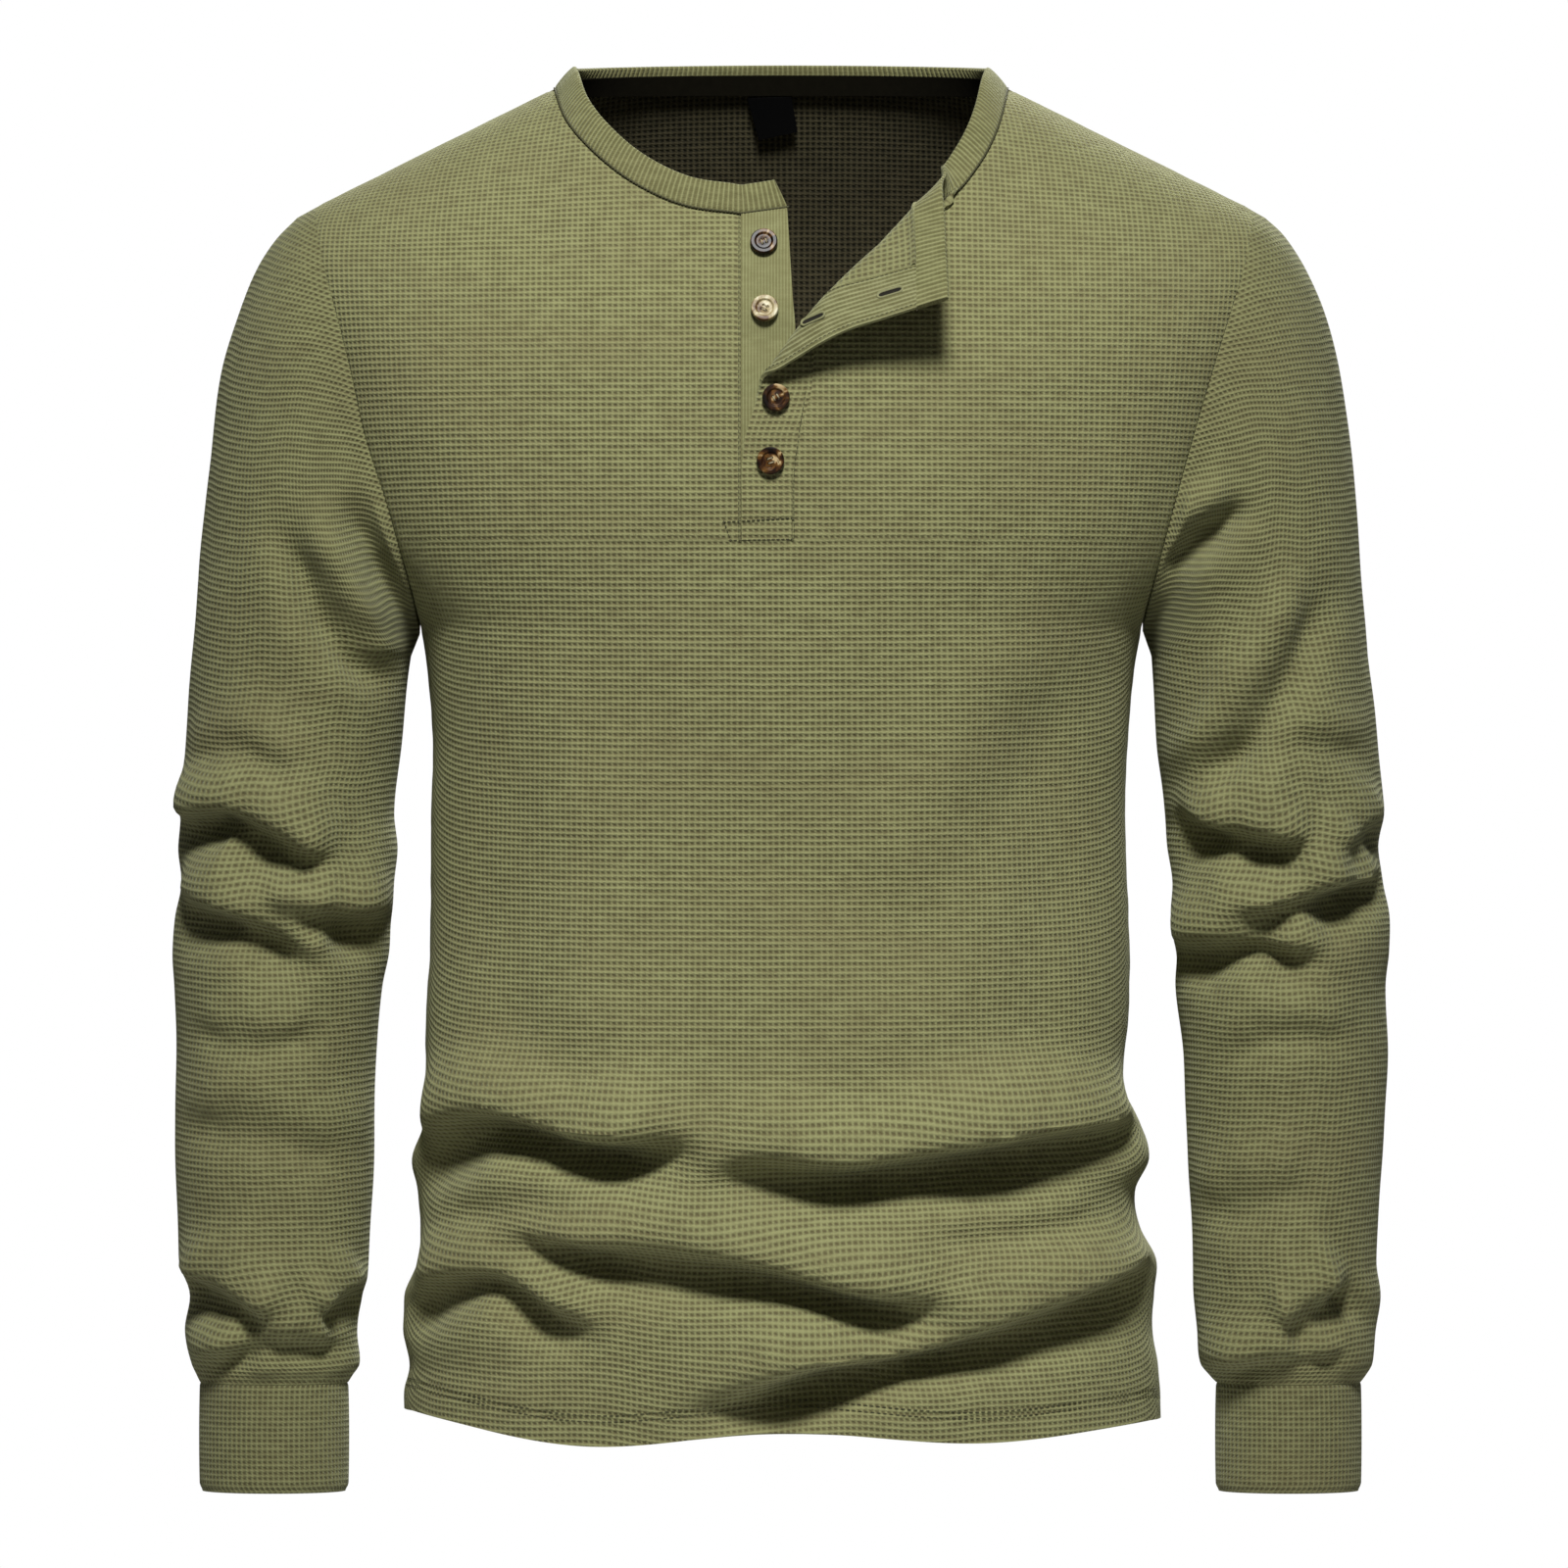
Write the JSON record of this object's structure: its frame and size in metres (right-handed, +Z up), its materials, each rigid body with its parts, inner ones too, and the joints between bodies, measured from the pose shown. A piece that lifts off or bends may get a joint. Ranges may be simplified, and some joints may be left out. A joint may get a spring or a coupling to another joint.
{
  "type": "henley shirt",
  "caption": "Long-sleeve waffle-knit henley shirt, filled out as worn, with a ribbed neckband, an open buttoned placket turned out at one corner, and tube cuffs.",
  "frame": {"origin": "midway between the neck ends of the two shoulder seams, where the wearer's shoulders hold the shirt up", "axes": "+Z up, front of the shirt towards -Y, +X towards the right as seen from the front"},
  "size_m": [0.5903, 0.2585, 0.6926],
  "materials": {
    "cloth": "matt waffle knit",
    "rib": "matt rib knit",
    "tape": "matt woven tape",
    "label": "satin",
    "button": "polished, marbled"
  },
  "bodies": {
    "root": {"front": "cloth", "back": "cloth", "sleeve_left": "cloth", "sleeve_right": "cloth", "cuff_left": "cloth", "cuff_right": "cloth", "neckband": "rib", "placket_under": "cloth", "placket_upper": "cloth", "neck_tape": "tape", "label": "label", "button_1": "button", "button_2": "button", "button_3": "button", "button_4": "button"}
  },
  "joints": []
}
